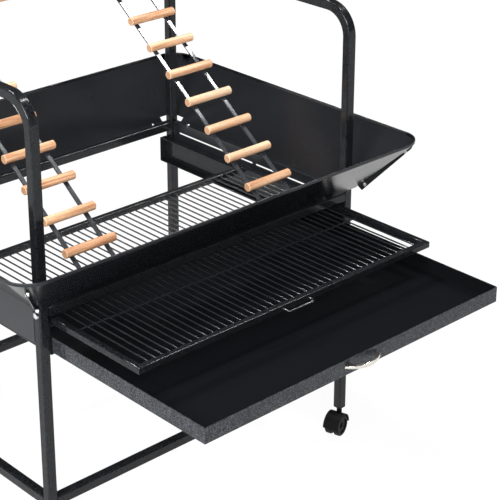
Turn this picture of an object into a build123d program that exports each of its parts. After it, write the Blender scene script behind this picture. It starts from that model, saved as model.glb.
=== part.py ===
from build123d import *
import os
from math import asin, atan2, cos, degrees, hypot, sin, sqrt

# Rolling parrot play stand, in millimetres. +Z is up, the tray and the grate pull out towards -Y,
# +X is the right-hand side seen from the front, and the origin is on the floor under the frame's middle.

# Square-tube frame
frame_width = 762.0
frame_depth = 550.0
deck_height = 552.0
tube = 19.0
tube_wall = 1.2
tube_corner = 3.0
lower_rail_height = 155.0
sheet = 1.2

# Casters
wheel_diameter = 45.0
wheel_width = 13.0
wheel_gap = 7.0
wheel_bevel = 2.0
wheel_recess_depth = 2.5
wheel_rim = 6.0
wheel_hub_radius = 6.0
wheel_room = 1.2
hood_thickness = 2.6
hood_overhang = 1.0
caster_trail = 14.0
caster_turn = 17.0
caster_web = 5.0
caster_boss_radius = 5.5
axle_diameter = 6.0
stem_diameter = 7.0
stem_in_leg = 26.0
stem_in_hood = 9.0
collar_radius = 6.0
collar_height = 2.0
socket_length = 30.0
socket_flange = 4.0
socket_round = 2.5
caster_height = 61.0
running_clearance = 0.05
seat_gap = 0.3

# Side panels and slide guides
panel_height = 68.0
panel_flange = 12.0
vent_height = 4.0
vent_drop = 28.5
vent_spans = ((-150.0, 3.0), (13.0, 250.0))
guide_sheet = 1.5
guide_drop = 36.0
guide_height = 55.0
guide_lip = 18.0
guide_end_inset = 1.0

# Flared seed guard
guard_flare = 100.0
guard_rise = 113.0
guard_foot = 12.0
guard_top_corner = 50.0
guard_foot_corner = 2.0
guard_hem_height = 6.0
guard_hem_thickness = 2.4
guard_flange_low = 12.5
guard_flange_high = 7.0
guard_flange_start = 16.0
guard_flange_end = 1.5
post_notch_margin = 11.5
post_notch_height = 8.0
corner_screw_stations = (28.0, 133.0)
foot_screw_inset = 60.0
foot_screw_end = 3.0

# Side hoops, rear posts and the perch between the posts
hoop_top = 934.0
hoop_bend = 54.0
post_above_hoop = 20.0
cap_height = 2.0
cap_plug = 12.0
cap_round = 1.0
spigot_length = 60.0
spigot_clearance = 0.3
spigot_bolt_drop = 11.0
perch_diameter = 25.0
perch_end_bevel = 1.2
perch_bolt_bite = 20.0

# Ladders
ladder_places = {"left": -224.0, "right": 210.0}
ladder_rail_spacing = 76.0
ladder_bar_width = 9.0
ladder_bar_thickness = 3.0
ladder_foot_length = 11.0
ladder_foot_setback = 2.0
ladder_foot_bend = 6.0
hook_wrap = 125.0
rung_diameter = 17.0
rung_length = 111.0
rung_end_bevel = 1.2
rung_pitch = 71.0
first_rung = 69.0
last_rung_margin = 20.0
rung_seat = 0.1

# Grate
grate_drawn = 229.0
grate_width = 706.0
grate_depth = 517.0
grate_bar = 12.0
grate_wall = 1.2
wire_diameter = 3.0
wire_pitch = 15.8
wire_below_top = 2.5
cross_wire_gap = 0.1
cross_wire_count = 2
grate_pull_width = 66.0
grate_pull_reach = 18.0
grate_pull_wire = 4.0
grate_pull_bend = 6.0

# Tray
tray_drawn = 391.0
tray_width = 711.0
tray_depth = 545.0
tray_height = 30.0
tray_hem_height = 7.0
tray_hem_thickness = 1.0
pull_length = 87.0
pull_reach = 20.0
pull_thickness = 4.0
pull_height = 7.5
pull_foot_height = 4.0
pull_round = 1.2
pull_foot_length = 16.0
pull_screw_pitch = 72.0
pull_screw_cover = 1.0

# Zinc-plated bolts and screws, with heads and nuts in proportion to the shank's radius
bolt_radius = 3.4
screw_radius = 2.0
pull_screw_radius = 1.5
screw_clearance = 0.2
head_radius_ratio = 1.84
head_height_ratio = 1.12
head_taper = 22.0
nut_radius_ratio = 1.84
nut_height_ratio = 1.28

# Values that follow from the sizes above
half_width = frame_width / 2
half_depth = frame_depth / 2
leg_x = half_width - tube / 2
leg_y = half_depth - tube / 2
inner_x = half_width - tube
inner_y = half_depth - tube
tube_bore = tube - 2 * tube_wall
bore_corner = tube_corner - tube_wall
wheel_radius = wheel_diameter / 2
bolt_hole_radius = bolt_radius + screw_clearance
hole_radius = screw_radius + screw_clearance
guide_top = deck_height - guide_drop
guide_bottom = guide_top - guide_height
hoop_axis_height = hoop_top - tube / 2
post_top = hoop_top + post_above_hoop
perch_y = leg_y
perch_z = hoop_axis_height
guard_top = deck_height + guard_rise
hem_bottom = guard_top - guard_hem_height
side_signs = (("left", -1), ("right", 1))
end_signs = (("front", -1), ("rear", 1))
corner_signs = ((-1, -1), (1, -1), (1, 1), (-1, 1))

os.makedirs("parts", exist_ok=True)


def save(piece, name):
    """Label a finished piece and write it to its own file."""
    piece.part.label = name
    export_step(piece.part, f"parts/{name}.step")


def tube_section():
    """Square tube with rounded corners, drawn on the sketch in hand."""
    RectangleRounded(tube, tube, tube_corner)
    RectangleRounded(tube_bore, tube_bore, bore_corner, mode=Mode.SUBTRACT)


def bore_section(clearance):
    """Solid section that fits inside the tube with some clearance all round."""
    side = tube_bore - 2 * clearance
    RectangleRounded(side, side, bore_corner)


def save_screws(name, radius, places):
    """Pan-head screws as one group. Each place is the plane under the head, the shank's length behind
    it, and whether a nut closes it."""
    with BuildPart() as screws:
        for plane, length, nut in places:
            with BuildSketch(plane):
                Circle(radius * head_radius_ratio)
            extrude(amount=radius * head_height_ratio, taper=head_taper)
            with BuildSketch(plane):
                Circle(radius)
            extrude(amount=-length)
            if nut:
                with BuildSketch(plane.offset(-length)):
                    RegularPolygon(radius * nut_radius_ratio, 6)
                extrude(amount=-radius * nut_height_ratio)
    save(screws, name)


def facing_x(x, y, z, sign):
    """Plane at a point of a side face, looking out of the stand to the left or right."""
    return Plane(origin=(x, y, z), x_dir=(0, 1, 0), z_dir=(sign, 0, 0))


# Screw places
spigot_bolt_planes = [
    facing_x(sx * half_width, sy * leg_y, deck_height - spigot_bolt_drop, sx) for sx, sy in corner_signs
]
perch_bolt_planes = [facing_x(sx * half_width, perch_y, perch_z, sx) for _, sx in side_signs]
foot_screw_points = [
    (sx * (half_width - foot_screw_inset), sy * (half_depth - guard_foot / 2)) for sx, sy in corner_signs
] + [
    (sx * (half_width - guard_foot / 2), sy * (half_depth - foot_screw_inset)) for sx, sy in corner_signs
]
spigot_bolt_length = tube / 2
perch_bolt_length = tube + perch_bolt_bite
foot_screw_length = sheet + tube_wall + foot_screw_end


# Legs, with a hole for the bolt that holds the upper tube's spigot
for end, sy in end_signs:
    for side, sx in side_signs:
        with BuildPart() as leg:
            with BuildSketch(Plane.XY.offset(caster_height)):
                with Locations((sx * leg_x, sy * leg_y)):
                    tube_section()
            extrude(amount=deck_height - caster_height)
            with BuildSketch(facing_x(sx * half_width, sy * leg_y, deck_height - spigot_bolt_drop, sx)):
                Circle(bolt_hole_radius)
            extrude(amount=-2 * tube_wall, mode=Mode.SUBTRACT)
        save(leg, f"leg_{end}_{side}")

# Lower rails join the legs all round
lower_rail_axis = lower_rail_height + tube / 2
for side, sx in side_signs:
    with BuildPart() as lower_side_rail:
        with BuildSketch(Plane.XZ.offset(-inner_y)):
            with Locations((sx * leg_x, lower_rail_axis)):
                tube_section()
        extrude(amount=2 * inner_y)
    save(lower_side_rail, f"lower_rail_{side}")
for end, sy in end_signs:
    with BuildPart() as lower_cross_rail:
        with BuildSketch(Plane.YZ.offset(-inner_x)):
            with Locations((sy * leg_y, lower_rail_axis)):
                tube_section()
        extrude(amount=2 * inner_x)
    save(lower_cross_rail, f"lower_rail_{end}")

# Top rails carry the front and rear seed guards
for end, sy in end_signs:
    with BuildPart() as top_rail:
        with BuildSketch(Plane.YZ.offset(-inner_x)):
            with Locations((sy * leg_y, deck_height - tube / 2)):
                tube_section()
        extrude(amount=2 * inner_x)
        with BuildSketch(Plane.XY.offset(deck_height)):
            with Locations(*[p for p in foot_screw_points if p[1] * sy > inner_y]):
                Circle(hole_radius)
        extrude(amount=-2 * tube_wall, mode=Mode.SUBTRACT)
    save(top_rail, f"top_rail_{end}")

# Side panels: shallow folded pans between the legs, open inwards, with two vent slots
vent_height_centre = deck_height - vent_drop
for side, sx in side_signs:
    with BuildPart() as side_panel:
        with BuildSketch(facing_x(sx * half_width, 0, deck_height - panel_height / 2, sx)):
            Rectangle(2 * inner_y, panel_height)
        extrude(amount=-panel_flange)
        inner_face = side_panel.faces().sort_by(Axis.X)[0 if sx > 0 else -1]
        offset(amount=-sheet, openings=inner_face)
        with BuildSketch(Plane.YZ.offset(sx * half_width)):
            for start, stop in vent_spans:
                with Locations(((start + stop) / 2, vent_height_centre)):
                    SlotOverall(stop - start, vent_height)
        extrude(amount=-sx * 2 * sheet, mode=Mode.SUBTRACT)
        with BuildSketch(Plane.XY.offset(deck_height)):
            with Locations(*[p for p in foot_screw_points if p[0] * sx > inner_x]):
                Circle(hole_radius)
        extrude(amount=-2 * sheet, mode=Mode.SUBTRACT)
    save(side_panel, f"side_panel_{side}")

# Slide guides: channels against the legs, open inwards. The tray runs on the lower lip, the grate on
# the upper one, and a folded end stops the tray at the back.
guide_length = frame_depth - 2 * guide_end_inset
for side, sx in side_signs:
    web_x = sx * (inner_x - guide_sheet / 2)
    lip_x = sx * (inner_x - guide_lip)
    low_z = guide_bottom + guide_sheet / 2
    high_z = guide_top - guide_sheet / 2
    with BuildPart() as guide:
        with BuildSketch(Plane.XZ.offset(guide_length / 2)):
            with BuildLine():
                FilletPolyline(
                    (lip_x, low_z),
                    (web_x, low_z),
                    (web_x, high_z),
                    (lip_x, high_z),
                    radius=guide_sheet,
                )
            trace(line_width=guide_sheet)
        extrude(amount=-guide_length)
        with BuildSketch(Plane.XZ.offset(-guide_length / 2)):
            with Locations((sx * (inner_x - (guide_lip + guide_sheet) / 2), (low_z + high_z) / 2)):
                Rectangle(guide_lip - guide_sheet, guide_top - guide_bottom - guide_sheet)
        extrude(amount=guide_sheet)
    save(guide, f"slide_guide_{side}")

# Seed guard. The four panels share one flared ring, cut apart on the corner mitres: walls that are flat
# along the sides and conical round the corners, a foot that lies on the frame, and a folded hem.
wall_rise = hem_bottom - deck_height
wall_slope = atan2(guard_flare, wall_rise)
wall_inset = sheet / cos(wall_slope)
rim_width = frame_width + 2 * guard_flare
rim_depth = frame_depth + 2 * guard_flare


def guard_outline(grow, corner):
    """Rounded outline that stands a given distance outside the frame."""
    RectangleRounded(frame_width + 2 * grow, frame_depth + 2 * grow, corner)


with BuildPart() as guard_ring:
    with BuildSketch(Plane.XY.offset(deck_height)):
        guard_outline(0, guard_foot_corner)
    with BuildSketch(Plane.XY.offset(hem_bottom)):
        guard_outline(guard_flare, guard_top_corner)
    loft(ruled=True)
    with BuildSketch(Plane.XY.offset(deck_height)):
        guard_outline(-wall_inset, guard_foot_corner)
    with BuildSketch(Plane.XY.offset(hem_bottom)):
        guard_outline(guard_flare - wall_inset, guard_top_corner - wall_inset)
    loft(ruled=True, mode=Mode.SUBTRACT)
    with BuildSketch(Plane.XY.offset(deck_height)):
        guard_outline(0, guard_foot_corner)
        Rectangle(frame_width - 2 * guard_foot, frame_depth - 2 * guard_foot, mode=Mode.SUBTRACT)
    extrude(amount=sheet)
    with BuildSketch(Plane.XY.offset(hem_bottom)):
        guard_outline(guard_flare, guard_top_corner)
        RectangleRounded(
            rim_width - 2 * guard_hem_thickness,
            rim_depth - 2 * guard_hem_thickness,
            guard_top_corner - guard_hem_thickness,
            mode=Mode.SUBTRACT,
        )
    extrude(amount=guard_hem_height)

# The mitre line of a corner, as distance out along the diagonal and height above the deck
corner_round = sqrt(2) - 1
mitre_foot = Vector(-guard_foot_corner * corner_round, 0)
mitre_head = Vector(guard_flare * sqrt(2) - guard_top_corner * corner_round, wall_rise)
mitre_length = (mitre_head - mitre_foot).length
mitre_up = (mitre_head - mitre_foot) / mitre_length
mitre_out = Vector(mitre_up.Y, -mitre_up.X)


def mitre_point(station, out):
    """Point of a corner flange: so far up the mitre line, and so far out of the wall."""
    return mitre_foot + mitre_up * station + mitre_out * out


def mitre_plane(sx, sy):
    """Upright plane through a corner's mitre, with its x along the diagonal and its y up."""
    corner = (sx * half_width, sy * half_depth, deck_height)
    return Plane(origin=corner, x_dir=(sx, sy, 0), z_dir=(sy, -sx, 0))


def corner_screw_plane(sx, sy, point):
    """Plane on the outside of a corner flange, under a screw's head."""
    mitre = mitre_plane(sx, sy)
    return Plane(origin=mitre.from_local_coords((*point, sheet)), x_dir=mitre.x_dir, z_dir=mitre.z_dir)


def flange_corner(point):
    """Flange point as a plain pair for a sketch."""
    return (point.X, point.Y)


flange_top = mitre_length - guard_flange_end
flange_taper = (guard_flange_low - guard_flange_high) / (flange_top - guard_flange_start)


def flange_width(station):
    """Width of the corner flange, which narrows upwards."""
    return guard_flange_low - flange_taper * (station - guard_flange_start)


flange_outline = [
    flange_corner(mitre_point(guard_flange_start, -sheet / 2)),
    flange_corner(mitre_point(guard_flange_start, guard_flange_low)),
    flange_corner(mitre_point(flange_top, guard_flange_high)),
    flange_corner(mitre_point(flange_top, -sheet / 2)),
]
corner_screw_points = [
    flange_corner(mitre_point(station, flange_width(station) / 2)) for station in corner_screw_stations
]
mitre_reach = guard_flare + guard_foot + guard_top_corner
guard_corners = {
    "front": ((-1, -1), (1, -1)),
    "right": ((1, -1), (1, 1)),
    "rear": ((1, 1), (-1, 1)),
    "left": ((-1, 1), (-1, -1)),
}

for name, (start, stop) in guard_corners.items():
    wedge_sides = ((start, -mitre_reach), (stop, -mitre_reach), (stop, mitre_reach), (start, mitre_reach))
    wedge = [(sx * (half_width + reach), sy * (half_depth + reach)) for (sx, sy), reach in wedge_sides]
    with BuildPart() as guard:
        add(guard_ring.part)
        with BuildSketch(Plane.XY.offset(deck_height)):
            with BuildLine():
                Polyline(*wedge, close=True)
            make_face()
        extrude(amount=guard_rise, mode=Mode.INTERSECT)
        with BuildSketch(Plane.XY.offset(deck_height)):
            with Locations(*[(sx * leg_x, sy * leg_y) for sx, sy in (start, stop)]):
                Rectangle(tube + 2 * post_notch_margin, tube + 2 * post_notch_margin)
        extrude(amount=post_notch_height, mode=Mode.SUBTRACT)
        with BuildSketch(Plane.XY.offset(deck_height)):
            with Locations(*foot_screw_points):
                Circle(hole_radius)
        extrude(amount=2 * sheet, mode=Mode.SUBTRACT)
        for (sx, sy), inward in ((start, -1), (stop, 1)):
            with BuildSketch(mitre_plane(sx, sy)):
                with BuildLine():
                    Polyline(*flange_outline, close=True)
                make_face()
                with Locations(*corner_screw_points):
                    Circle(hole_radius, mode=Mode.SUBTRACT)
            extrude(amount=inward * sheet)
    save(guard, f"seed_guard_{name}")

# Side hoops: bent tube, up from the front leg and back to the rear post on each side
for side, sx in side_signs:
    with BuildPart() as hoop:
        with BuildLine(Plane.YZ.offset(sx * leg_x)):
            FilletPolyline(
                (-leg_y, deck_height),
                (-leg_y, hoop_axis_height),
                (inner_y, hoop_axis_height),
                radius=hoop_bend,
            )
        with BuildSketch(Plane.XY.offset(deck_height)):
            with Locations((sx * leg_x, -leg_y)):
                tube_section()
        sweep()
    save(hoop, f"side_hoop_{side}")

# Rear posts rise past the hoops' ends, with a hole through each for the perch's bolt
for side, sx in side_signs:
    with BuildPart() as rear_post:
        with BuildSketch(Plane.XY.offset(deck_height)):
            with Locations((sx * leg_x, leg_y)):
                tube_section()
        extrude(amount=post_top - deck_height)
        with BuildSketch(facing_x(sx * half_width, perch_y, perch_z, sx)):
            Circle(bolt_hole_radius)
        extrude(amount=-tube, mode=Mode.SUBTRACT)
    save(rear_post, f"rear_post_{side}")

# Plugs that close the rear posts' tops
with BuildPart() as post_caps:
    for _, sx in side_signs:
        with BuildSketch(Plane.XY.offset(post_top)):
            with Locations((sx * leg_x, leg_y)):
                RectangleRounded(tube, tube, tube_corner)
        extrude(amount=cap_height)
        with BuildSketch(Plane.XY.offset(post_top)):
            with Locations((sx * leg_x, leg_y)):
                bore_section(running_clearance)
        extrude(amount=-cap_plug)
    fillet(post_caps.faces().group_by(Axis.Z)[-1].edges(), cap_round)
save(post_caps, "post_caps")

# Spigots inside the tube joints, half in the leg and half in the tube above it
with BuildPart() as spigots:
    with BuildSketch(Plane.XY.offset(deck_height - spigot_length / 2)):
        with Locations(*[(sx * leg_x, sy * leg_y) for sx, sy in corner_signs]):
            bore_section(spigot_clearance)
    extrude(amount=spigot_length)
    for plane in spigot_bolt_planes:
        with BuildSketch(plane):
            Circle(bolt_hole_radius)
        extrude(amount=-tube, mode=Mode.SUBTRACT)
save(spigots, "post_spigots")

# Perch between the rear posts
perch_length = 2 * inner_x
with BuildPart() as perch:
    with BuildSketch(Plane.YZ.offset(-perch_length / 2)):
        with Locations((perch_y, perch_z)):
            Circle(perch_diameter / 2)
    extrude(amount=perch_length)
    chamfer(perch.edges().filter_by(GeomType.CIRCLE), perch_end_bevel)
    for plane in perch_bolt_planes:
        with BuildSketch(plane):
            Circle(bolt_hole_radius)
        extrude(amount=-perch_bolt_length - screw_clearance, mode=Mode.SUBTRACT)
save(perch, "perch")

# Ladders: flat bars that stand on the front guard's foot and hook over the perch
foot_z = deck_height + sheet + seat_gap + ladder_bar_thickness / 2
foot_tip_y = -half_depth + ladder_foot_setback
foot_heel_y = foot_tip_y + ladder_foot_length
hook_radius = perch_diameter / 2 + seat_gap + ladder_bar_thickness / 2
perch_away = hypot(perch_y - foot_heel_y, perch_z - foot_z)
ladder_angle = atan2(perch_z - foot_z, perch_y - foot_heel_y) + asin(hook_radius / perch_away)
ladder_length = sqrt(perch_away**2 - hook_radius**2)
rung_lift = ladder_bar_thickness / 2 + rung_diameter / 2 + rung_seat
rung_count = int((ladder_length - first_rung - last_rung_margin) // rung_pitch) + 1


def ladder_point(station, lift):
    """Y and Z of a point so far up the ladder from its heel, and so far above its bars."""
    y = foot_heel_y + station * cos(ladder_angle) - lift * sin(ladder_angle)
    z = foot_z + station * sin(ladder_angle) + lift * cos(ladder_angle)
    return (y, z)


for ladder, ladder_x in ladder_places.items():
    for side, sx in side_signs:
        bar_x = ladder_x + sx * ladder_rail_spacing / 2
        with BuildPart() as ladder_bar:
            with BuildSketch(Plane.YZ.offset(bar_x - ladder_bar_width / 2)):
                with BuildLine():
                    bar = FilletPolyline(
                        (foot_tip_y, foot_z),
                        (foot_heel_y, foot_z),
                        ladder_point(ladder_length, 0),
                        radius=ladder_foot_bend,
                    )
                    JernArc(bar @ 1, bar % 1, hook_radius, -hook_wrap)
                trace(line_width=ladder_bar_thickness)
            extrude(amount=ladder_bar_width)
        save(ladder_bar, f"ladder_{ladder}_bar_{side}")
    rung_points = [ladder_point(first_rung + i * rung_pitch, rung_lift) for i in range(rung_count)]
    with BuildPart() as rungs:
        with BuildSketch(Plane.YZ.offset(ladder_x - rung_length / 2)):
            with Locations(*rung_points):
                Circle(rung_diameter / 2)
        extrude(amount=rung_length)
        chamfer(rungs.edges().filter_by(GeomType.CIRCLE), rung_end_bevel)
    save(rungs, f"ladder_{ladder}_rungs")

# Grate, drawn part way out: a folded frame, open below, with wires across it and a wire pull in front
grate_z = guide_top + seat_gap
grate_front = -half_depth - grate_drawn
grate_middle = grate_front + grate_depth / 2
opening_width = grate_width - 2 * grate_bar
opening_depth = grate_depth - 2 * grate_bar
with BuildPart() as grate_frame:
    with BuildSketch(Plane.XY.offset(grate_z)):
        with Locations((0, grate_middle)):
            Rectangle(grate_width, grate_depth)
            Rectangle(opening_width, opening_depth, mode=Mode.SUBTRACT)
    extrude(amount=grate_bar)
    with BuildSketch(Plane.XY.offset(grate_z)):
        with Locations((0, grate_middle)):
            Rectangle(grate_width - 2 * grate_wall, grate_depth - 2 * grate_wall)
            Rectangle(opening_width + 2 * grate_wall, opening_depth + 2 * grate_wall, mode=Mode.SUBTRACT)
    extrude(amount=grate_bar - grate_wall, mode=Mode.SUBTRACT)
save(grate_frame, "grate_frame")

wire_z = grate_z + grate_bar - wire_below_top
cross_wire_z = wire_z - wire_diameter - cross_wire_gap
wire_count = int(opening_width // wire_pitch) - 1
with BuildPart() as grate_wires:
    with BuildSketch(Plane.XZ.offset(-(grate_front + grate_bar))):
        with Locations((0, wire_z)):
            with GridLocations(wire_pitch, 0, wire_count, 1):
                Circle(wire_diameter / 2)
    extrude(amount=-opening_depth)
    with BuildSketch(Plane.YZ.offset(-opening_width / 2)):
        with Locations((grate_middle, cross_wire_z)):
            with GridLocations(opening_depth / (cross_wire_count + 1), 0, cross_wire_count, 1):
                Circle(wire_diameter / 2)
    extrude(amount=opening_width)
save(grate_wires, "grate_wires")

pull_wire_z = grate_z + grate_bar / 2
pull_wire_x = (grate_pull_width - grate_pull_wire) / 2
pull_wire_y = grate_front - grate_pull_reach + grate_pull_wire / 2
with BuildPart() as grate_pull:
    with BuildLine(Plane.XY.offset(pull_wire_z)):
        FilletPolyline(
            (-pull_wire_x, grate_front),
            (-pull_wire_x, pull_wire_y),
            (pull_wire_x, pull_wire_y),
            (pull_wire_x, grate_front),
            radius=grate_pull_bend,
        )
    with BuildSketch(Plane.XZ.offset(-grate_front)):
        with Locations((-pull_wire_x, pull_wire_z)):
            Circle(grate_pull_wire / 2)
    sweep()
save(grate_pull, "grate_pull")

# Tray, drawn further out: a floor with four hemmed walls folded up round it, and a bow pull in front
tray_z = guide_bottom + guide_sheet + seat_gap
tray_front = -half_depth - tray_drawn
tray_middle = tray_front + tray_depth / 2
pull_z = tray_z + tray_height / 2
pull_hole_radius = pull_screw_radius + screw_clearance
pull_screw_planes = [
    Plane(origin=(sx * pull_screw_pitch / 2, tray_front + sheet, pull_z), x_dir=(1, 0, 0), z_dir=(0, 1, 0))
    for _, sx in side_signs
]
pull_screw_length = sheet + pull_thickness - pull_screw_cover
with BuildPart() as tray_floor:
    with BuildSketch(Plane.XY.offset(tray_z)):
        with Locations((0, tray_middle)):
            Rectangle(tray_width, tray_depth)
    extrude(amount=sheet)
save(tray_floor, "tray_floor")

# Each wall is drawn from the middle of its outer face, with x along the wall and y into the tray. The
# end walls run the whole width, the side walls fit between them, and the hems meet in the corners.
wall_height = tray_height - sheet
tray_walls = {
    "front": ((0, tray_front), (1, 0, 0), tray_width, sheet),
    "rear": ((0, tray_front + tray_depth), (-1, 0, 0), tray_width, sheet),
    "left": ((-tray_width / 2, tray_middle), (0, -1, 0), tray_depth - 2 * sheet, tray_hem_thickness),
    "right": ((tray_width / 2, tray_middle), (0, 1, 0), tray_depth - 2 * sheet, tray_hem_thickness),
}
for name, (middle, along, length, hem_inset) in tray_walls.items():
    foot = Plane(origin=(*middle, tray_z + sheet), x_dir=along, z_dir=(0, 0, 1))
    with BuildPart() as tray_wall:
        with BuildSketch(foot):
            with Locations((0, sheet / 2)):
                Rectangle(length, sheet)
        extrude(amount=wall_height)
        with BuildSketch(foot.offset(wall_height - tray_hem_height)):
            with Locations((0, sheet + tray_hem_thickness / 2)):
                Rectangle(length - 2 * hem_inset, tray_hem_thickness)
        extrude(amount=tray_hem_height)
        if name == "front":
            for plane in pull_screw_planes:
                with BuildSketch(plane):
                    Circle(pull_hole_radius)
                extrude(amount=-2 * sheet, mode=Mode.SUBTRACT)
    save(tray_wall, f"tray_wall_{name}")

# Bow pull: a crescent seen from above, slimming towards its feet seen from the front
bow_half = pull_length / 2
bow_inner_half = bow_half - pull_foot_length
with BuildPart() as tray_pull:
    with BuildSketch(Plane.XY.offset(pull_z - pull_height / 2)):
        with BuildLine():
            ThreePointArc((-bow_half, tray_front), (0, tray_front - pull_reach), (bow_half, tray_front))
            Polyline(
                (bow_half, tray_front),
                (bow_inner_half, tray_front),
                (bow_inner_half, tray_front - pull_thickness),
            )
            ThreePointArc(
                (bow_inner_half, tray_front - pull_thickness),
                (0, tray_front - pull_reach + pull_thickness),
                (-bow_inner_half, tray_front - pull_thickness),
            )
            Polyline(
                (-bow_inner_half, tray_front - pull_thickness),
                (-bow_inner_half, tray_front),
                (-bow_half, tray_front),
            )
        make_face()
    extrude(amount=pull_height)
    with BuildSketch(Plane.XZ.offset(-tray_front)):
        with BuildLine():
            ThreePointArc(
                (-bow_half, pull_z + pull_foot_height / 2),
                (0, pull_z + pull_height / 2),
                (bow_half, pull_z + pull_foot_height / 2),
            )
            Line((bow_half, pull_z + pull_foot_height / 2), (bow_half, pull_z - pull_foot_height / 2))
            ThreePointArc(
                (bow_half, pull_z - pull_foot_height / 2),
                (0, pull_z - pull_height / 2),
                (-bow_half, pull_z - pull_foot_height / 2),
            )
            Line((-bow_half, pull_z - pull_foot_height / 2), (-bow_half, pull_z + pull_foot_height / 2))
        make_face()
    extrude(amount=pull_reach, mode=Mode.INTERSECT)
    outer_face = tray_pull.faces().sort_by(Axis.Y)[0]
    fillet(outer_face.edges().filter_by(Axis.Z, reverse=True), pull_round)
    for plane in pull_screw_planes:
        with BuildSketch(plane):
            Circle(pull_hole_radius)
        extrude(amount=-pull_screw_length - screw_clearance, mode=Mode.SUBTRACT)
save(tray_pull, "tray_pull")

save_screws(
    "tray_pull_screws",
    pull_screw_radius,
    [(plane, pull_screw_length, False) for plane in pull_screw_planes],
)

# Twin-wheel casters, trailing to the left and a little forwards. Each is drawn on an upright plane under
# its leg, with x against the trail and y up.
collar_top = caster_height - socket_flange - seat_gap
boss_top = collar_top - collar_height
wheel_space = wheel_radius + wheel_room
hood_radius = wheel_space + hood_thickness
hood_width = wheel_gap + 2 * wheel_width + 2 * hood_overhang
axle_hub_radius = axle_diameter
wheel_bore = axle_diameter / 2 + running_clearance
axle_length = wheel_gap + 2 * wheel_width - 2 * wheel_recess_depth
axle_point = (-caster_trail, wheel_radius)
along_wheels = Vector(1, 0, 0).rotate(Axis.Z, caster_turn)
along_axle = along_wheels.cross(Vector(0, 0, 1))

for end, sy in end_signs:
    for side, sx in side_signs:
        corner = (sx * leg_x, sy * leg_y)
        upright = Plane(origin=(*corner, 0), x_dir=along_wheels, z_dir=along_axle)

        with BuildPart() as hood:
            with BuildSketch(Plane.XY.offset(wheel_radius)):
                with Locations(corner):
                    Circle(caster_boss_radius)
            extrude(amount=boss_top - wheel_radius)
            with BuildSketch(upright):
                with Locations(axle_point):
                    Circle(hood_radius)
            extrude(amount=hood_width / 2, both=True)
            with BuildSketch(upright):
                with Locations(axle_point):
                    Circle(wheel_space)
                with Locations((-caster_trail, 0)):
                    Rectangle(4 * hood_radius, 2 * wheel_radius)
            extrude(amount=hood_width, both=True, mode=Mode.SUBTRACT)
            with BuildSketch(upright):
                with Locations(axle_point):
                    Circle(wheel_space + hood_thickness / 2)
                with Locations((-caster_trail, 0)):
                    Rectangle(4 * hood_radius, 2 * wheel_radius, mode=Mode.SUBTRACT)
                with Locations(axle_point):
                    Circle(axle_hub_radius)
            extrude(amount=caster_web / 2, both=True)
            with BuildSketch(upright):
                with Locations(axle_point):
                    Circle(wheel_bore)
            extrude(amount=hood_width, both=True, mode=Mode.SUBTRACT)
            with BuildSketch(Plane.XY.offset(boss_top)):
                with Locations(corner):
                    Circle(stem_diameter / 2 + running_clearance)
            extrude(amount=-stem_in_hood - seat_gap, mode=Mode.SUBTRACT)
        save(hood, f"caster_hood_{end}_{side}")

        with BuildPart() as stem:
            with BuildSketch(Plane.XY.offset(boss_top - stem_in_hood)):
                with Locations(corner):
                    Circle(stem_diameter / 2)
            extrude(amount=caster_height + stem_in_leg - boss_top + stem_in_hood)
            with BuildSketch(Plane.XY.offset(boss_top)):
                with Locations(corner):
                    Circle(collar_radius)
            extrude(amount=collar_height)
        save(stem, f"caster_stem_{end}_{side}")

        with BuildPart() as wheels:
            for turn in (-1, 1):
                near = upright.offset(turn * wheel_gap / 2)
                far = upright.offset(turn * (wheel_gap / 2 + wheel_width))
                with BuildSketch(near):
                    with Locations(axle_point):
                        Circle(wheel_radius)
                extrude(amount=turn * wheel_width)
                with BuildSketch(far):
                    with Locations(axle_point):
                        Circle(wheel_radius - wheel_rim)
                        Circle(wheel_hub_radius, mode=Mode.SUBTRACT)
                extrude(amount=-turn * wheel_recess_depth, mode=Mode.SUBTRACT)
            circles = wheels.edges().filter_by(GeomType.CIRCLE)
            chamfer(circles.filter_by(lambda edge: edge.radius == wheel_radius), wheel_bevel)
            with BuildSketch(upright):
                with Locations(axle_point):
                    Circle(wheel_bore)
            extrude(amount=hood_width, both=True, mode=Mode.SUBTRACT)
        save(wheels, f"caster_wheels_{end}_{side}")

        with BuildPart() as axle:
            with BuildSketch(upright):
                with Locations(axle_point):
                    Circle(axle_diameter / 2)
            extrude(amount=axle_length / 2, both=True)
        save(axle, f"caster_axle_{end}_{side}")

# Sockets pressed into the leg ends for the caster stems
leg_points = [(sx * leg_x, sy * leg_y) for sx, sy in corner_signs]
with BuildPart() as sockets:
    with BuildSketch(Plane.XY.offset(caster_height - socket_flange)):
        with Locations(*leg_points):
            RectangleRounded(tube, tube, tube_corner)
    extrude(amount=socket_flange)
    fillet(sockets.faces().group_by(Axis.Z)[0].edges(), socket_round)
    with BuildSketch(Plane.XY.offset(caster_height)):
        with Locations(*leg_points):
            bore_section(running_clearance)
    extrude(amount=socket_length)
    with BuildSketch(Plane.XY.offset(caster_height - socket_flange)):
        with Locations(*leg_points):
            Circle(stem_diameter / 2 + running_clearance)
    extrude(amount=socket_flange + socket_length, mode=Mode.SUBTRACT)
save(sockets, "caster_sockets")

# Screws of the frame, and of the seed guard's corners and feet
save_screws(
    "frame_screws",
    bolt_radius,
    [(plane, spigot_bolt_length, False) for plane in spigot_bolt_planes]
    + [(plane, perch_bolt_length, False) for plane in perch_bolt_planes],
)
corner_screw_planes = [
    corner_screw_plane(sx, sy, point) for sx, sy in corner_signs for point in corner_screw_points
]
foot_screw_planes = [Plane(origin=(x, y, deck_height + sheet)) for x, y in foot_screw_points]
save_screws(
    "guard_screws",
    screw_radius,
    [(plane, 2 * sheet, True) for plane in corner_screw_planes]
    + [(plane, foot_screw_length, False) for plane in foot_screw_planes],
)

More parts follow.
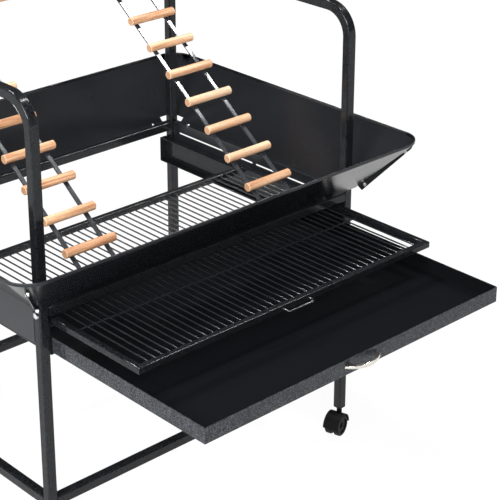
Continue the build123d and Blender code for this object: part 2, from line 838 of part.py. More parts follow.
print(f"ladder {degrees(ladder_angle):.1f} degrees, {rung_count} rungs, {wire_count} grate wires")
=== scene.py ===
# %% [markdown]
# Rolling play stand for a parrot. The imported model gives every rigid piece: tubes, sheet-metal guards,
# grate, tray, ladders and casters. It is loaded as it is, and this lesson dresses it: finishes worked out
# in shader nodes, real screws in place of the plain ones, sheet edges that are a little round, a camera at
# the photograph's place, and a white studio around it.

# %% Load the frame
import math

import bmesh
import bpy
import numpy as np
from mathutils import Matrix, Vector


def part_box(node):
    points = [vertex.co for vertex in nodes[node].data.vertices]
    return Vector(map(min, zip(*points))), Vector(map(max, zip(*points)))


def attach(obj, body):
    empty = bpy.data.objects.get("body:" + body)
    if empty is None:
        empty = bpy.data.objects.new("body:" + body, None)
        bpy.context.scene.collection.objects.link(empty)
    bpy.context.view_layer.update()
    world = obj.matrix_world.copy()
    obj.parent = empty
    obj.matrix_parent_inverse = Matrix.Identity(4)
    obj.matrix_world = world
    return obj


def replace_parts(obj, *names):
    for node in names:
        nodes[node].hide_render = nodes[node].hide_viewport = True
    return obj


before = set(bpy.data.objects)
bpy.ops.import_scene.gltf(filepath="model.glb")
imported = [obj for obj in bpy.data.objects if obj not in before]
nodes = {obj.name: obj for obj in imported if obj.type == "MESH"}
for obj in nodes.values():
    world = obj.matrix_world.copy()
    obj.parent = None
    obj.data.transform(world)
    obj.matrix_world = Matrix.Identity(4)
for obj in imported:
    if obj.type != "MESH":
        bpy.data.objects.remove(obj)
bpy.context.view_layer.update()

# %% [markdown]
# A finish is a small sum of patterns: flecks plus dimples, less the worn places. Written as nodes and
# links that is long, so two small classes let Python's own operators write it. A Field wraps a socket, and
# adding or multiplying two of them adds a Math node. A Finish holds one material, and its one method for
# any other node sets that node up first and then joins its sockets.

# %% Shader sums
class Field:
    """A shader value that takes part in Python sums; each operator adds one Math node."""

    def __init__(self, finish, socket):
        self.finish = finish
        self.socket = socket

    def math(self, operation, *others):
        terms = dict(enumerate((self, *others)))
        return self.finish.node("ShaderNodeMath", {"operation": operation}, terms)

    def __add__(self, other):
        return self.math("ADD", other)

    def __radd__(self, other):
        return self.math("ADD", other)

    def __sub__(self, other):
        return self.math("SUBTRACT", other)

    def __rsub__(self, other):
        return self.finish.node("ShaderNodeMath", {"operation": "SUBTRACT"}, {0: other, 1: self})

    def __mul__(self, other):
        return self.math("MULTIPLY", other)

    def __gt__(self, other):
        return self.math("GREATER_THAN", other)

    def __abs__(self):
        return self.math("ABSOLUTE")

    def clamped(self):
        """The same value, held between 0 and 1."""
        return self.math("MINIMUM", 1.0).math("MAXIMUM", 0.0)


class Finish:
    """One material: its nodes, its shader, and the object coordinates that its patterns read."""

    def __init__(self, name):
        self.material = bpy.data.materials.new(name)
        self.material.use_nodes = True
        self.tree = self.material.node_tree
        self.shader = self.tree.nodes["Principled BSDF"]
        self.place = self.node("ShaderNodeTexCoord", out="Object")

    def node(self, kind, settings=None, sockets=None, out=0):
        """Add a node of this kind, give it its settings, then its sockets' values or links."""
        made = self.tree.nodes.new(kind)
        for key, value in (settings or {}).items():
            if key == "stops":
                stops = made.color_ramp.elements
                for index, (position, colour) in enumerate(value):
                    stop = stops[index] if index < len(stops) else stops.new(position)
                    stop.position = position
                    stop.color = colour
            else:
                setattr(made, key, value)
        for key, value in (sockets or {}).items():
            self.join(made.inputs[key], value)
        return Field(self, made.outputs[out])

    def join(self, socket, value):
        """Link a Field into a socket, or set a plain number or colour on it."""
        if isinstance(value, Field):
            self.tree.links.new(value.socket, socket)
        else:
            socket.default_value = value

    def shade(self, **values):
        """Set or link the shader's sockets, named with underscores for spaces."""
        for name, value in values.items():
            self.join(self.shader.inputs[name.replace("_", " ")], value)

    def along(self, axis):
        """One object coordinate, in metres."""
        return self.node("ShaderNodeSeparateXYZ", None, {0: self.place}, out=axis)

    def stretched(self, x, y, z):
        """Object coordinates scaled on each axis, for a pattern that runs along one of them."""
        return self.node("ShaderNodeMapping", None, {"Vector": self.place, "Scale": (x, y, z)})

    def noise(self, scale, detail=2.0, vector=None, roughness=0.5):
        """Cloudy noise from 0 to 1, with so many cells to the metre."""
        sockets = {"Vector": vector or self.place, "Scale": scale, "Detail": detail, "Roughness": roughness}
        return self.node("ShaderNodeTexNoise", None, sockets)

    def cells(self, scale):
        """Distance to the middle of the nearest cell, about 0 to 0.7, with so many cells to the metre."""
        sockets = {"Vector": self.place, "Scale": scale, "Smoothness": 0.4}
        return self.node("ShaderNodeTexVoronoi", {"feature": "SMOOTH_F1"}, sockets)

    def mix(self, share, first, second):
        """Blend two colours: the first where the share is 0, the second where it is 1."""
        return self.node("ShaderNodeMix", {"data_type": "RGBA"}, {0: share, 6: first, 7: second}, out=2)

    def bump(self, height, strength, distance):
        """Surface relief from a height pattern, with its depth in metres."""
        sockets = {"Height": height, "Strength": strength, "Distance": distance}
        return self.node("ShaderNodeBump", None, sockets)


def paint(finish, *names):
    """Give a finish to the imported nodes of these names."""
    for name in names:
        materials = nodes[name].data.materials
        materials.clear()
        materials.append(finish.material)


def grey(level):
    """A neutral colour."""
    return (level, level, level, 1.0)


def cool(level):
    """A grey with some blue in it, as black paint shows where light falls on it."""
    return (level * 0.92, level, level * 1.16, 1.0)


sides = ("left", "right")
ends = ("front", "rear")
walls = ("front", "right", "rear", "left")
corners = [f"{end}_{side}" for end in ends for side in sides]
print("corners", corners)

# %% [markdown]
# The tubes, the ladder bars, the grate's frame and the outside of the tray are powder coated in black
# hammertone. That paint draws together as it cures, into small shiny cells with pale metallic flecks
# between them. Flecks come from a fine noise cut off above its middle, and the dimples are the distance to
# the nearest cell, used as relief. The tray and the ladder bars get a paler copy of the same paint, with
# paler flecks: painted light, for the stronger light that falls on them. A clear smooth coat lies over it
# and gives the crisp bright lines on the bends and edges.

# %% Hammertone
fleck_share = 0.65
patch_share = 0.3
dimple_depth = 0.0005
coat_weight = 0.5
smooth_level = 0.006
smooth_gloss = 0.2


def hammertone(name, ground, fleck, covered=None):
    """Black paint with flecks and dimples; where covered is given and 0, it is smooth and plain."""
    finish = Finish(name)
    wander = finish.noise(110)
    dimples = finish.cells(300)
    flecks = ((finish.noise(480, 1.0) - 0.5) * 12).clamped()
    patches = (finish.noise(40, 3.0) - 0.4) * patch_share
    colour = finish.mix((flecks * fleck_share + patches).clamped(), cool(ground), cool(fleck))
    relief = dimples * 1.2 + wander * 0.3
    rough = 0.34 + wander * 0.2
    coat = coat_weight
    if covered is not None:
        cover = covered(finish)
        colour = finish.mix(cover, cool(smooth_level), colour)
        relief = relief * cover
        rough = rough * cover + (1 - cover) * smooth_gloss
        coat = cover * coat_weight
    finish.shade(Base_Color=colour, Roughness=rough, IOR=1.1)
    finish.shade(Normal=finish.bump(relief, 0.25, dimple_depth))
    finish.shade(Coat_Weight=coat, Coat_Roughness=0.12, Coat_IOR=1.5)
    return finish


tube_paint = hammertone("black_hammertone", 0.004, 0.028)
# The ladder bars' paler ground and flecks are painted light, for the stronger light that falls on them.
lit_bar_paint = hammertone("bar_hammertone_lit", 0.016, 0.065)
paint(tube_paint, *[f"leg_{corner}" for corner in corners])
paint(tube_paint, *[f"lower_rail_{wall}" for wall in walls])
paint(tube_paint, "top_rail_front", "top_rail_rear", "grate_frame")
for side in sides:
    paint(tube_paint, f"side_hoop_{side}", f"rear_post_{side}", f"slide_guide_{side}")
    paint(lit_bar_paint, *[f"ladder_{side}_bar_{bar}" for bar in sides])
print("hammertone nodes painted")

# %% [markdown]
# The tray has two finishes. Outside it has the same flecked paint as the tubes, and inside it is smooth, so
# droppings wipe off. Its floor and four walls make a plain box, so a point is outside when it lies within a
# millimetre of the box's faces, measured from the tray's own middle.

# %% Tray paint
tray_low, tray_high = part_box("tray_floor")
tray_high.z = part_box("tray_wall_front")[1].z
tray_middle = (tray_low + tray_high) / 2
tray_half = (tray_high - tray_low) / 2
outer_skin = 0.00105


def outside_of_tray(finish):
    """1 on the tray's outer faces and 0 inside: how near the largest of the side distances comes to 0."""
    across = abs(finish.along("X") - tray_middle.x) - tray_half.x
    along = abs(finish.along("Y") - tray_middle.y) - tray_half.y
    below = tray_low.z - finish.along("Z")
    return across.math("MAXIMUM", along).math("MAXIMUM", below) > -outer_skin


# The tray's outside has a paler ground and flecks than the tubes: painted light, for the stronger light on
# its walls.
tray_paint = hammertone("tray_two_finishes", 0.014, 0.080, outside_of_tray)
paint(tray_paint, "tray_floor", *[f"tray_wall_{wall}" for wall in walls])
print("tray middle", tray_middle, "half", tray_half)

# %% [markdown]
# The flared seed guard is bent sheet in a smooth satin black, and the side panels are the same coat, duller
# and paler; their paler level is painted light, for the stronger light that falls on them.
# The grate's wires have the same coat, glossier. Close to, such a coat has a faint orange peel and soft
# wiped patches that only show in the gloss.

# %% Satin sheet
def satin_sheet(name, level, gloss, shine=1.42):
    """Smooth black coat: nearly plain colour, with the wiped patches in its roughness."""
    finish = Finish(name)
    peel = finish.noise(160)
    wiped = finish.noise(9, 4.0, roughness=0.6)
    finish.shade(
        Base_Color=finish.mix(wiped * 0.15, cool(level), cool(level * 2 + 0.02)),
        Roughness=gloss + wiped * 0.12,
        Normal=finish.bump(peel, 0.03, 0.0002),
        IOR=shine,
    )
    return finish


guard_paint = satin_sheet("satin_black_sheet", 0.010, 0.13)
paint(guard_paint, *[f"seed_guard_{wall}" for wall in walls])
# The panels' level, higher than the guard's, is painted light for the stronger light on them; their higher
# roughness is the duller coat.
panel_paint = satin_sheet("satin_panel_sheet_lit", 0.018, 0.3)
paint(panel_paint, "side_panel_left", "side_panel_right")
wire_paint = satin_sheet("satin_black_wire", 0.012, 0.16, 1.7)
paint(wire_paint, "grate_wires", "grate_pull")
print("sheet and wire painted")

# %% [markdown]
# The rungs and the perch are beech dowels. Beech is pale pinkish brown, with fine lines along the grain and
# short dark flecks, and every dowel is cut from a different board. So the noise is stretched along the
# dowel, and each rung gets its own tint, looked up by how far up the ladder it is. The cut ends take more
# oil and are darker, with a paler turned edge round them; both are found by their distance from the
# dowel's end.

# %% Beech
rung_pitch = 0.071
ladder_slope = math.radians(36.3)
end_bevel = 0.0012
dowel_radius = 0.0085
rung_tints = {
    "left": (-0.10, -0.04, -0.08, -0.08, -0.15, 0.05, -0.04, 0.08),
    "right": (-0.12, 0.12, 0.02, 0.15, 0.09, 0.05, -0.08, 0.04),
}
beech_stops = [
    (0.26, (0.39, 0.175, 0.080, 1.0)),
    (0.42, (0.61, 0.326, 0.175, 1.0)),
    (0.57, (0.76, 0.475, 0.291, 1.0)),
    (0.80, (0.79, 0.611, 0.417, 1.0)),
]
pore_brown = (0.26, 0.120, 0.055, 1.0)
edge_cream = (0.80, 0.62, 0.45, 1.0)
end_brown = (0.47, 0.255, 0.130, 1.0)


def beech(name, box, tints):
    """Wood along X: stretched noise through a ramp of beech colours, plus pores, ends and rung tints."""
    low, high = box
    finish = Finish(name)
    grain = finish.noise(1.0, 6.0, finish.stretched(8, 180, 180), 0.66)
    bands = finish.noise(1.0, 3.0, finish.stretched(4, 70, 70))
    pores = ((finish.noise(1.0, 2.0, finish.stretched(150, 1100, 1100)) - 0.58) * 9).clamped()
    tone = (grain - 0.5) * 1.1 + (bands - 0.5) * 0.6 + 0.5
    climb = (finish.along("Y") - low.y - dowel_radius) * math.cos(ladder_slope)
    climb = climb + (finish.along("Z") - low.z - dowel_radius) * math.sin(ladder_slope)
    for number, tint in enumerate(tints):
        on_rung = 1 - (abs(climb - number * rung_pitch) > rung_pitch / 2)
        tone = tone + on_rung * tint
    colour = finish.node("ShaderNodeValToRGB", {"stops": beech_stops}, {"Fac": tone})
    colour = finish.mix(pores * 0.45, colour, pore_brown)
    from_end = (high.x - low.x) / 2 - abs(finish.along("X") - (low.x + high.x) / 2)
    cut = 1 - (from_end > end_bevel * 0.05)
    turned_edge = (1 - (from_end > end_bevel * 1.05)) - cut
    rings = finish.noise(1.0, 4.0, finish.stretched(1, 700, 700))
    colour = finish.mix(turned_edge * 0.4, colour, edge_cream)
    colour = finish.mix(cut * (0.55 + rings * 0.4), colour, end_brown)
    finish.shade(
        Base_Color=colour,
        Roughness=0.5 + pores * 0.2 + grain * 0.1,
        Normal=finish.bump(grain - pores * 0.7, 0.25, 0.0003),
        IOR=1.45,
    )
    return finish


for side in sides:
    rungs = f"ladder_{side}_rungs"
    paint(beech(f"beech_rungs_{side}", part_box(rungs), rung_tints[side]), rungs)
paint(beech("beech_perch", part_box("perch"), ()), "perch")
print("beech dowels painted")

# %% [markdown]
# Bright parts: the bow pull is satin nickel, brushed along its length, and the screws are zinc plated. The
# caster stems, axles and spigots are plain steel, mostly hidden. Metals get their look from what they
# reflect, so only the roughness and a slight tint change over the surface.

# %% Metals
even_grain = (900, 900, 900)


def plated(name, tint, gloss, brushing):
    """Bare or plated metal: a stretched noise turns its roughness into fine brushed lines."""
    finish = Finish(name)
    lines = finish.noise(1.0, 3.0, finish.stretched(*brushing))
    clouds = finish.noise(60, 3.0)
    darker = tuple(0.72 * part for part in tint[:3]) + (1.0,)
    finish.shade(
        Base_Color=finish.mix(clouds * 0.5, tint, darker),
        Metallic=1.0,
        Roughness=gloss + lines * 0.16,
        Normal=finish.bump(lines, 0.06, 0.0001),
    )
    return finish


nickel = plated("satin_nickel", (0.80, 0.765, 0.69, 1.0), 0.16, (60, 60, 2500))
paint(nickel, "tray_pull")
zinc = plated("bright_zinc", (0.83, 0.835, 0.85, 1.0), 0.2, even_grain)
steel = plated("plain_steel", (0.55, 0.55, 0.56, 1.0), 0.3, even_grain)
paint(steel, "post_spigots")
paint(steel, *[f"caster_{piece}_{corner}" for piece in ("stem", "axle") for corner in corners])
print("metals painted")

# %% [markdown]
# The casters are moulded nylon. The hoods have the fine matt grain of the mould, and the wheels are the
# same black with a band of floor dust on the tread. The dust follows the distance from the axle, so each
# wheel pair gets its own copy with its own centre.

# %% Casters
caster_turn = math.radians(17)
tread_band = 0.0012
tread_black = grey(0.005)
floor_dust = (0.035, 0.033, 0.030, 1.0)


def moulded(name, level):
    """Matt moulded plastic: fine grain in the relief, and a little in the gloss."""
    finish = Finish(name)
    grain = finish.noise(1500)
    finish.shade(
        Base_Color=finish.mix(grain, grey(level), grey(level * 1.8)),
        Roughness=0.5 + grain * 0.16,
        Normal=finish.bump(grain, 0.12, 0.0002),
        IOR=1.22,
    )
    return finish


def rolling(name, low, high):
    """Wheel plastic, dusty where the distance from the axle is near the wheel's radius."""
    finish = moulded(name, 0.004)
    radius = (high.z - low.z) / 2
    along = (finish.along("X") - (low.x + high.x) / 2) * math.cos(caster_turn)
    across = along + (finish.along("Y") - (low.y + high.y) / 2) * math.sin(caster_turn)
    upward = finish.along("Z") - (low.z + high.z) / 2
    reach = (across * across + upward * upward).math("SQRT")
    tread = ((reach - (radius - tread_band)) * 900).clamped()
    scuffs = ((finish.noise(240, 4.0) - 0.42) * 3).clamped()
    finish.shade(
        Base_Color=finish.mix(tread * scuffs * 0.7, tread_black, floor_dust),
        Roughness=0.5 + tread * scuffs * 0.3,
    )
    return finish


hood_plastic = moulded("moulded_nylon", 0.0035)
paint(hood_plastic, "caster_sockets", "post_caps", *[f"caster_hood_{corner}" for corner in corners])
for corner in corners:
    wheels = f"caster_wheels_{corner}"
    paint(rolling(f"wheel_plastic_{corner}", *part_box(wheels)), wheels)
print("casters painted")

# %% [markdown]
# The screws are small, but they are the only bright points on the frame, so they get real pan heads with
# a cross recess. A head is a sheet of points: a square grid pressed into a disc, with the rounded height of
# a pan head over it, less the cross. A flat copy of the same grid closes it below. One shape serves every
# screw of a kind, and each place turns and moves a copy.

# %% Screw shapes
head_spread, head_rise = 1.84, 1.12
cross_width, cross_reach, cross_depth = 0.12, 0.56, 0.55
nut_spread, nut_rise = 1.84, 1.28
nut_bevel = 0.0005


def grid_faces(rows, columns):
    """Quads between neighbouring points of a grid that is stored row by row."""
    first = np.arange(rows * columns).reshape(rows, columns)
    quads = np.stack([first[:-1, :-1], first[1:, :-1], first[1:, 1:], first[:-1, 1:]], -1)
    return quads.reshape(-1, 4)


def joined(*shapes):
    """Several shapes, each points and quads, as one."""
    starts = np.cumsum([0] + [len(points) for points, _ in shapes[:-1]])
    points = np.concatenate([points for points, _ in shapes])
    return points, np.concatenate([faces + start for (_, faces), start in zip(shapes, starts)])


def pan_head(radius, steps=25):
    """Pan head on z = 0 for a shank of this radius: its height over a disc is H times the fourth root of
    1 less r to the fourth, less a cross of two bars cut about half way down; below it lies the flat disc."""
    head_radius, head_height = radius * head_spread, radius * head_rise
    across, down = np.meshgrid(np.linspace(-1, 1, steps), np.linspace(-1, 1, steps))
    x = across * np.sqrt(1 - down**2 / 2) * head_radius
    y = down * np.sqrt(1 - across**2 / 2) * head_radius
    reach = np.clip((x**2 + y**2) / head_radius**2, 0, 1)
    narrow, wide = np.minimum(abs(across), abs(down)), np.maximum(abs(across), abs(down))
    cross = (narrow < cross_width) & (wide < cross_reach)
    z = head_height * ((1 - reach**2) ** 0.25 - cross_depth * cross)
    top = np.stack([x, y, z], -1).reshape(-1, 3)
    bottom = np.stack([x, y, np.zeros_like(z)], -1).reshape(-1, 3)
    faces = grid_faces(steps, steps)
    return joined((top, faces), (bottom, faces))


def turned(profile, steps):
    """A profile of radius and height, carried once round the z axis in so many steps."""
    angle = np.linspace(0, 2 * np.pi, steps + 1)
    radius, height = np.array(profile).T
    x = radius[:, None] * np.cos(angle)
    y = radius[:, None] * np.sin(angle)
    z = np.broadcast_to(height[:, None], x.shape)
    return np.stack([x, y, z], -1).reshape(-1, 3), grid_faces(len(profile), steps + 1)


def screw(radius, length, nut=False):
    """Head and shank and, where there is one, a six-sided nut with its end bevelled."""
    shank = turned([(0, 0), (radius, 0), (radius, -length), (0, -length)], 16)
    if not nut:
        return joined(pan_head(radius), shank)
    nut_radius = radius * nut_spread
    nut_end = -length - radius * nut_rise
    profile = [
        (0, -length),
        (nut_radius, -length),
        (nut_radius, nut_end + nut_bevel),
        (nut_radius - nut_bevel, nut_end),
        (0, nut_end),
    ]
    return joined(pan_head(radius), shank, turned(profile, 6))


print("pan head", len(pan_head(1.0)[1]), "quads")

# %% [markdown]
# A screw's place is a point and the way that its head looks. Each place needs a turn that brings the z axis
# there, and the copies of one kind become a single mesh that rides on its body. Points that fall together,
# such as the rims of the two head sheets, are merged, so that the mesh is closed.

# %% Placing shapes
same_point = 1e-6
smooth_turn = math.radians(38)


def facing(axis):
    """Turn that brings z onto an axis: two directions square to it, and the axis itself, as columns."""
    out = np.array(axis, float) / np.linalg.norm(axis)
    side = np.cross((0.31, 0.83, 0.47), out)
    side = side / np.linalg.norm(side)
    return np.stack([side, np.cross(out, side), out], 1)


def placed(shape, places):
    """A copy of a shape at each place, which is a point and the way that z looks there."""
    points, faces = shape
    return joined(*[(points @ facing(axis).T + np.array(point), faces) for point, axis in places])


def make_piece(name, shape, finish, body):
    """Mesh object from points and quads, with doubles merged and normals outwards, riding on a body."""
    points, faces = shape
    mesh = bpy.data.meshes.new(name)
    mesh.from_pydata(points.tolist(), [], faces.tolist())
    tidy = bmesh.new()
    tidy.from_mesh(mesh)
    bmesh.ops.remove_doubles(tidy, verts=tidy.verts, dist=same_point)
    bmesh.ops.recalc_face_normals(tidy, faces=tidy.faces)
    tidy.to_mesh(mesh)
    tidy.free()
    mesh.shade_smooth()
    mesh.set_sharp_from_angle(angle=smooth_turn)
    mesh.materials.append(finish.material)
    piece = bpy.data.objects.new(name, mesh)
    bpy.context.scene.collection.objects.link(piece)
    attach(piece, body)
    print(name, len(mesh.vertices), "points", len(mesh.polygons), "faces")
    return piece


# %% [markdown]
# Where the screws go follows from the frame's own sizes. A bolt through the top of each leg holds the spigot
# of the tube above it, and one through each rear post holds the perch.

# %% Bolts of the frame
half_width, half_depth = 0.381, 0.275
tube = 0.019
deck = 0.552
hoop_top = 0.934
leg_y = half_depth - tube / 2
perch_y, perch_z = leg_y, hoop_top - tube / 2
bolt_radius = 0.0034
bolt_drop = 0.011
perch_bite = 0.020
corner_signs = [(-1, -1), (1, -1), (1, 1), (-1, 1)]

spigot_bolts = [((sx * half_width, sy * leg_y, deck - bolt_drop), (sx, 0, 0)) for sx, sy in corner_signs]
perch_bolts = [((sx * half_width, perch_y, perch_z), (sx, 0, 0)) for sx in (-1, 1)]
frame_bolts = joined(
    placed(screw(bolt_radius, tube / 2), spigot_bolts),
    placed(screw(bolt_radius, tube + perch_bite), perch_bolts),
)
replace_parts(make_piece("frame_pan_bolts", frame_bolts, zinc, "stand"), "frame_screws")

# %% [markdown]
# The guard has two screws through each corner flange, which leans out along the mitre and narrows upwards,
# and eight in its feet. The mitre's line comes from the wall's flare and rise and from how round the corner
# is at its foot and at its rim.

# %% Screws of the guard
sheet = 0.0012
flare, wall_rise = 0.100, 0.107
foot_radius, rim_radius = 0.002, 0.050
corner_round = math.sqrt(2) - 1
mitre_foot = np.array([-foot_radius * corner_round, 0.0])
mitre_head = np.array([flare * math.sqrt(2) - rim_radius * corner_round, wall_rise])
mitre_length = np.linalg.norm(mitre_head - mitre_foot)
mitre_up = (mitre_head - mitre_foot) / mitre_length
mitre_out = np.array([mitre_up[1], -mitre_up[0]])
flange_low, flange_high = 0.016, mitre_length - 0.0015
flange_wide, flange_narrow = 0.0125, 0.0070
flange_stations = (0.028, 0.133)
foot_along, foot_inward = 0.060, 0.006
screw_radius = 0.0020
foot_screw_length = 0.0054


def flange_spot(sx, sy, station):
    """Point half way across a corner flange, so far up the mitre, and the way its screw's head looks."""
    width = np.interp(station, (flange_low, flange_high), (flange_wide, flange_narrow))
    along, height = mitre_foot + mitre_up * station + mitre_out * width / 2
    diagonal = np.array([sx, sy, 0]) / math.sqrt(2)
    look = np.array([sy, -sx, 0]) / math.sqrt(2)
    corner = np.array([sx * half_width, sy * half_depth, deck + height])
    return corner + diagonal * along + look * sheet, look


corner_bolts = [flange_spot(sx, sy, station) for sx, sy in corner_signs for station in flange_stations]
foot_spots = [(sx * (half_width - foot_along), sy * (half_depth - foot_inward)) for sx, sy in corner_signs]
foot_spots += [(sx * (half_width - foot_inward), sy * (half_depth - foot_along)) for sx, sy in corner_signs]
foot_screws = [((x, y, deck + sheet), (0, 0, 1)) for x, y in foot_spots]
guard_screws = joined(
    placed(screw(screw_radius, 2 * sheet, True), corner_bolts),
    placed(screw(screw_radius, foot_screw_length), foot_screws),
)
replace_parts(make_piece("guard_pan_screws", guard_screws, zinc, "stand"), "guard_screws")

# %% [markdown]
# Two screws hold the tray's bow pull from inside, and underneath the ladders a screw goes up into every rung.
# A ladder leans from its heel on the guard's foot to the perch that its hooks wrap, so its slope is that of
# the line from the heel that touches a circle round the perch.

# %% Screws of the tray's pull and the ladders
pull_spread = 0.036
pull_screw_radius, pull_screw_length = 0.0015, 0.0042
pull_middle = (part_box("tray_pull")[0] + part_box("tray_pull")[1]) / 2
pull_screws = [((sx * pull_spread, tray_low.y + sheet, pull_middle.z), (0, 1, 0)) for sx in (-1, 1)]
pull_shape = placed(screw(pull_screw_radius, pull_screw_length), pull_screws)
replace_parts(make_piece("pull_pan_screws", pull_shape, zinc, "tray"), "tray_pull_screws")

bar_half = 0.0015
clearance = 0.0003
perch_radius = 0.0125
rung_spread = 0.038
rung_screw_radius, rung_screw_length = 0.0016, 0.002
first_rung, rung_count = 0.069, 8
heel_y, heel_z = -0.262, deck + sheet + clearance + bar_half
hook_reach = perch_radius + clearance + bar_half
perch_away = math.hypot(perch_y - heel_y, perch_z - heel_z)
climb_angle = math.atan2(perch_z - heel_z, perch_y - heel_y) + math.asin(hook_reach / perch_away)
up_ladder = np.array([0, math.cos(climb_angle), math.sin(climb_angle)])
under_ladder = np.array([0, math.sin(climb_angle), -math.cos(climb_angle)])
stations = first_rung + rung_pitch * np.arange(rung_count)
rung_screw = screw(rung_screw_radius, rung_screw_length)
for side in sides:
    rungs_low, rungs_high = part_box(f"ladder_{side}_rungs")
    middle = (rungs_low.x + rungs_high.x) / 2
    heels = [np.array([middle + offset, heel_y, heel_z]) for offset in (-rung_spread, rung_spread)]
    undersides = [heel + under_ladder * bar_half for heel in heels]
    spots = [(start + up_ladder * station, under_ladder) for start in undersides for station in stations]
    make_piece(f"rung_screws_{side}", placed(rung_screw, spots), zinc, f"ladder_{side}")
print("ladder climbs at", round(math.degrees(climb_angle), 2), "degrees")

# %% [markdown]
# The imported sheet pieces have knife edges. Real folded sheet and sheared bar are a little round there, and
# that round catches a thin bright line, which is most of what shows of a black part. So each of these
# pieces is copied, its triangles are joined into whole faces, and a Bevel rounds every edge that turns
# sharply. Edges of the top face, such as a rim, are folded and get the full width, and sheared edges less,
# by their bevel weight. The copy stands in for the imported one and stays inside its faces. On the guard, the
# upper tip of each corner flange also moves down, so that it ends under the rim.

# %% Eased edges
sharp_turn = math.radians(40)
flat_turn = math.radians(0.3)
same_height = 1e-5
tip_tuck = 0.014
tip_reach = 0.0015


def tuck_tips(shape):
    """Move the corner flanges' upper outer corners down along the mitre."""
    tip = mitre_foot + mitre_up * flange_high + mitre_out * flange_narrow
    along, height = mitre_up * tip_tuck
    for vert in shape.verts:
        outward = abs(vert.co.x) - half_width + abs(vert.co.y) - half_depth
        spot = np.array([outward / math.sqrt(2), vert.co.z - deck])
        if np.linalg.norm(spot - tip) < tip_reach:
            vert.co.x -= math.copysign(along / math.sqrt(2), vert.co.x)
            vert.co.y -= math.copysign(along / math.sqrt(2), vert.co.y)
            vert.co.z -= height


def eased(name, body, folded, sheared, reshape=None):
    """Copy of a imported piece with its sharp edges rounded: so far on top, and so far elsewhere."""
    mesh = nodes[name].data.copy()
    tidy = bmesh.new()
    tidy.from_mesh(mesh)
    bmesh.ops.remove_doubles(tidy, verts=tidy.verts, dist=same_point)
    if reshape:
        reshape(tidy)
    bmesh.ops.dissolve_limit(tidy, angle_limit=flat_turn, verts=tidy.verts, edges=tidy.edges)
    weight = tidy.edges.layers.float.new("bevel_weight_edge")
    top = max(vert.co.z for vert in tidy.verts)
    for edge in tidy.edges:
        on_top = min(vert.co.z for vert in edge.verts) > top - same_height
        if edge.is_manifold and edge.calc_face_angle(0.0) > sharp_turn:
            edge[weight] = 1.0 if on_top else sheared / folded
    tidy.to_mesh(mesh)
    tidy.free()
    mesh.shade_smooth()
    mesh.set_sharp_from_angle(angle=sharp_turn)
    piece = bpy.data.objects.new(f"{name}_eased", mesh)
    bpy.context.scene.collection.objects.link(piece)
    bevel = piece.modifiers.new("eased_edges", "BEVEL")
    bevel.width = folded
    bevel.segments = 3
    bevel.limit_method = "WEIGHT"
    bevel.use_clamp_overlap = False
    flat_faces = piece.modifiers.new("flat_faces", "WEIGHTED_NORMAL")
    flat_faces.keep_sharp = True
    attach(piece, body)
    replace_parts(piece, name)


guard_rim = 0.0010
tray_rim, tray_edge = 0.0009, 0.0004
bar_edge = 0.0006
grate_rim, grate_edge = 0.0016, 0.0004
for wall in walls:
    eased(f"seed_guard_{wall}", "stand", guard_rim, 0.0, tuck_tips)
    eased(f"tray_wall_{wall}", "tray", tray_rim, tray_edge)
for side in sides:
    for bar in sides:
        eased(f"ladder_{side}_bar_{bar}", f"ladder_{side}", bar_edge, bar_edge)
eased("grate_frame", "grate", grate_rim, grate_edge)
print("edges eased")

# %% [markdown]
# The camera stands to the left of the stand's front, above the rim and looking down, at the place that the
# straight edges in the photograph give. The photograph is a crop, so its middle isn't where the lens looks,
# and the shift moves the frame there.

# %% Camera
camera = bpy.data.objects.new("camera", bpy.data.cameras.new("camera"))
camera.data.lens = 115.1
camera.data.sensor_width = 36.0
camera.data.shift_x = 0.0231
camera.data.shift_y = -0.2002
rightward = np.array([0.7360, -0.6770, 0.0])
upward = np.array([0.2530, 0.2750, 0.9276])
camera_turn = np.eye(4)
camera_turn[:3, :3] = np.stack([rightward, upward, np.cross(rightward, upward)], 1)
camera_turn[:3, 3] = (-1.7575, -2.2668, 1.8123)
camera.matrix_world = Matrix(camera_turn)
bpy.context.scene.collection.objects.link(camera)
bpy.context.scene.camera = camera
print("camera at", tuple(camera_turn[:3, 3]))

# %% [markdown]
# The studio is a wide white bowl: a flat floor that curves up into a low wall all round. What the lens and
# the glossy paint see of it is mostly plain white, and a share of its real shading stays, so the stand keeps
# its shadow. The sky is white to the lens and nearly dark to the rest, because the tray and the grate mirror
# it.

# %% White bowl
bowl_radius, bowl_flat, bowl_wall = 13.0, 8.5, 1.2
floor_gap = 0.0004
white_share = 0.93
dark_sky = 0.05


def bowl(radius, flat, wall):
    """Floor and wall as one turned profile: flat out to a radius, then rising with the square of the rest."""
    reach = np.concatenate([[0.0], np.linspace(flat, radius, 24)])
    height = wall * (np.clip(reach - flat, 0, None) / (radius - flat)) ** 2
    return turned(np.stack([reach, height - floor_gap], 1), 96)


points, faces = bowl(bowl_radius, bowl_flat, bowl_wall)
floor_mesh = bpy.data.meshes.new("studio_floor")
floor_mesh.from_pydata(points.tolist(), [], faces.tolist())
floor_mesh.shade_smooth()
floor = bpy.data.objects.new("studio_floor", floor_mesh)
bpy.context.scene.collection.objects.link(floor)

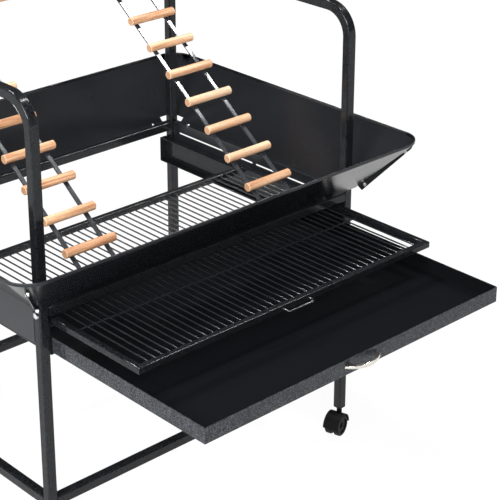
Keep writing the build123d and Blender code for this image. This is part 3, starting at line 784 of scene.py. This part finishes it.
backdrop = Finish("white_backdrop")
rays = "ShaderNodeLightPath"
seen = backdrop.node(rays, out="Is Camera Ray") + backdrop.node(rays, out="Is Glossy Ray")
seen = (seen + backdrop.node(rays, out="Is Transmission Ray")).clamped()
backdrop.shade(Base_Color=grey(0.95), Roughness=0.9)
glow = backdrop.node("ShaderNodeEmission", None, {"Color": grey(1.0), "Strength": 1.0})
matt = Field(backdrop, backdrop.shader.outputs[0])
mixed = backdrop.node("ShaderNodeMixShader", None, {0: seen * white_share, 1: matt, 2: glow})
backdrop.join(backdrop.tree.nodes["Material Output"].inputs["Surface"], mixed)
floor_mesh.materials.append(backdrop.material)

world = bpy.data.worlds.new("studio_sky")
world.use_nodes = True
sky = world.node_tree
sky_level = sky.nodes.new("ShaderNodeMath")
sky_level.operation = "MAXIMUM"
sky_level.inputs[1].default_value = dark_sky
sky.links.new(sky.nodes.new("ShaderNodeLightPath").outputs["Is Camera Ray"], sky_level.inputs[0])
sky.links.new(sky_level.outputs[0], sky.nodes["Background"].inputs["Color"])
bpy.context.scene.world = world
print("bowl", len(points), "points")

# %% [markdown]
# A soft lamp stands high in front, to the left of the lens, for the wood and the front faces. A smaller one
# on the left lights the left-hand faces and draws bright lines along the bends of the hoops. Two more hang
# far off and high, one to the right and one behind, out of the way of what the flat tops reflect. An edge
# mirrors a lamp only from some directions, and from so far off these are the same all along it. So the one
# on the right draws its line along the whole of an edge that runs across, and the one behind along the
# front ends of the wires.

# %% Lamps
def soft_lamp(name, place, aim, width, depth, watts):
    """Rectangular lamp at a place, looking at an aim, with its width level."""
    lamp = bpy.data.lights.new(name, "AREA")
    lamp.shape = "RECTANGLE"
    lamp.size = width
    lamp.size_y = depth
    lamp.energy = watts
    made = bpy.data.objects.new(name, lamp)
    out = np.array(place) - np.array(aim)
    out = out / np.linalg.norm(out)
    level = np.cross((0, 0, 1), out)
    level = level / np.linalg.norm(level)
    turn = np.eye(4)
    turn[:3, :3] = np.stack([level, np.cross(out, level), out], 1)
    turn[:3, 3] = place
    made.matrix_world = Matrix(turn)
    bpy.context.scene.collection.objects.link(made)
    print(name, watts, "watts")


soft_lamp("lamp_front", (-2.0, -3.3, 3.0), (0, 0, 0.6), 1.6, 1.2, 145)
soft_lamp("lamp_left", (-2.3, -0.9, 2.0), (0, 0, 0.6), 1.4, 1.4, 90)
soft_lamp("lamp_rims", (7.0, -0.8, 10.3), (0, 0, 0.6), 0.9, 2.2, 700)
soft_lamp("lamp_wires", (0, 6.7, 10.5), (0, 0, 0.5), 1.2, 2.0, 1000)
bpy.context.scene.view_settings.view_transform = "Standard"
